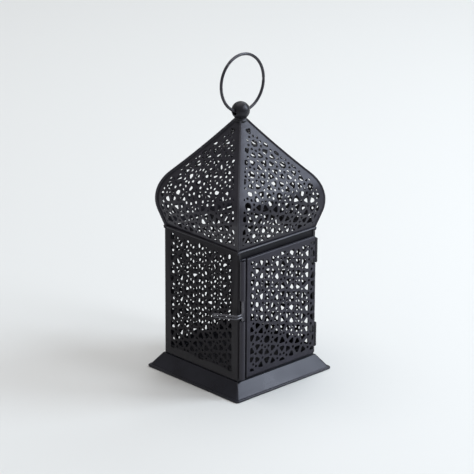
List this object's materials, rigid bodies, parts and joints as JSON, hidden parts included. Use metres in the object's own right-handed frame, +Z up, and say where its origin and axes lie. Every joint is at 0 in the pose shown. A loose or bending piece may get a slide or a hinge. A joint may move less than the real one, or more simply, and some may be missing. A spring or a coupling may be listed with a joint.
{
  "type": "moroccan metal lantern",
  "caption": "Square candle lantern of pierced sheet metal with an onion-shaped roof, flared base, hinged door with a wire latch, and a hanging ring.",
  "frame": {"origin": "middle of the flared base's underside, on the surface the lantern stands on", "axes": "+Z up; the door is on the -Y side, hinged at +X, with its latch at -X"},
  "size_m": [0.1223, 0.12, 0.2997],
  "materials": {
    "skirt_metal": "satin near-black powder coat with a blue-grey sheen",
    "body_metal": "satin near-black powder coat with a blue-grey sheen",
    "roof_metal": "satin near-black powder coat with a blue-grey sheen",
    "door_metal": "satin near-black powder coat with a blue-grey sheen",
    "inner_metal": "satin near-black powder coat with a blue-grey sheen",
    "wire_metal": "satin near-black powder coat with a blue-grey sheen",
    "hardware_metal": "satin near-black powder coat with a blue-grey sheen"
  },
  "bodies": {
    "root": {"base_skirt": "skirt_metal", "floor_tray": "inner_metal", "left_panel": "body_metal", "right_panel": "body_metal", "back_panel": "body_metal", "front_frame": "body_metal", "roof_front": "roof_metal", "roof_right": "roof_metal", "roof_back": "roof_metal", "roof_left": "roof_metal", "seam_front_right": "roof_metal", "seam_back_right": "roof_metal", "seam_back_left": "roof_metal", "seam_front_left": "roof_metal", "ball_finial": "hardware_metal", "apex_washer": "inner_metal", "finial_nut": "inner_metal", "frame_leaf_upper": "hardware_metal", "frame_leaf_lower": "hardware_metal", "hinge_pin_upper": "hardware_metal", "hinge_pin_lower": "hardware_metal"},
    "door": {"door_panel": "door_metal", "rolled_edge_upper": "door_metal", "rolled_edge_lower": "door_metal", "door_leaf_upper": "hardware_metal", "door_leaf_lower": "hardware_metal"},
    "latch": {"latch_wire": "wire_metal"},
    "ring": {"hanging_ring": "wire_metal"}
  },
  "joints": [
    {"name": "door_hinge", "type": "hinge", "parent": "root", "child": "door", "pos_m": [0.047, -0.05, 0.074], "axis": [0, 0, 1], "range_deg": [0, 150]},
    {"name": "latch_swing", "type": "hinge", "parent": "door", "child": "latch", "pos_m": [-0.0457, -0.0511, 0.078], "axis": [0, 0, 1], "range_deg": [-15, 145]},
    {"name": "ring_swing", "type": "hinge", "parent": "root", "child": "ring", "pos_m": [0, 0, 0.2478], "axis": [1, 0, 0], "range_deg": [-132, 132]}
  ]
}
